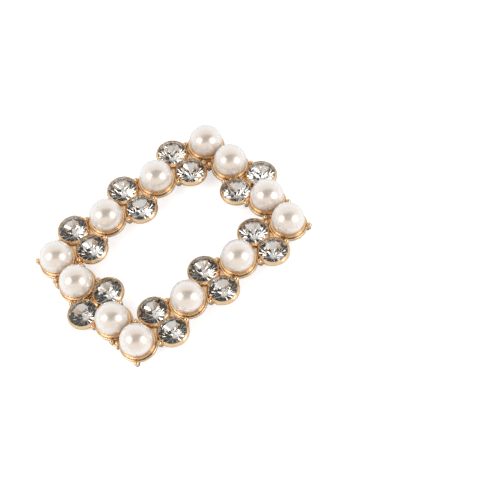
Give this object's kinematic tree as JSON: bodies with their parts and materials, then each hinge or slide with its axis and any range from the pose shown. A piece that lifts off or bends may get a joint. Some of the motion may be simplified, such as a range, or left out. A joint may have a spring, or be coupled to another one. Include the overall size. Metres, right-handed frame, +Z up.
{
  "type": "shoe charm",
  "caption": "Open rectangular shoe charm: a cast gold-tone frame of round cups set with imitation pearls and pairs of round cut clear stones.",
  "frame": {"origin": "centre of the surface that the charm rests on, under the middle of the open frame", "axes": "+X along the long sides, +Y along the short sides, +Z up out of the decorated face"},
  "size_m": [0.0476, 0.0344, 0.0077],
  "materials": {
    "gilt_metal": "polished gold-tone plating on cast zinc alloy",
    "pearl_coat": "pearlescent lacquer, glossy",
    "cut_glass": "clear cut glass with a silver foil back"
  },
  "bodies": {
    "root": {"setting_frame": "gilt_metal", "pearl_1": "pearl_coat", "pearl_2": "pearl_coat", "pearl_3": "pearl_coat", "pearl_4": "pearl_coat", "pearl_5": "pearl_coat", "pearl_6": "pearl_coat", "pearl_7": "pearl_coat", "pearl_8": "pearl_coat", "pearl_9": "pearl_coat", "pearl_10": "pearl_coat", "pearl_11": "pearl_coat", "pearl_12": "pearl_coat", "stone_1": "cut_glass", "stone_2": "cut_glass", "stone_3": "cut_glass", "stone_4": "cut_glass", "stone_5": "cut_glass", "stone_6": "cut_glass", "stone_7": "cut_glass", "stone_8": "cut_glass", "stone_9": "cut_glass", "stone_10": "cut_glass", "stone_11": "cut_glass", "stone_12": "cut_glass", "stone_13": "cut_glass", "stone_14": "cut_glass", "stone_15": "cut_glass", "stone_16": "cut_glass"}
  },
  "joints": []
}
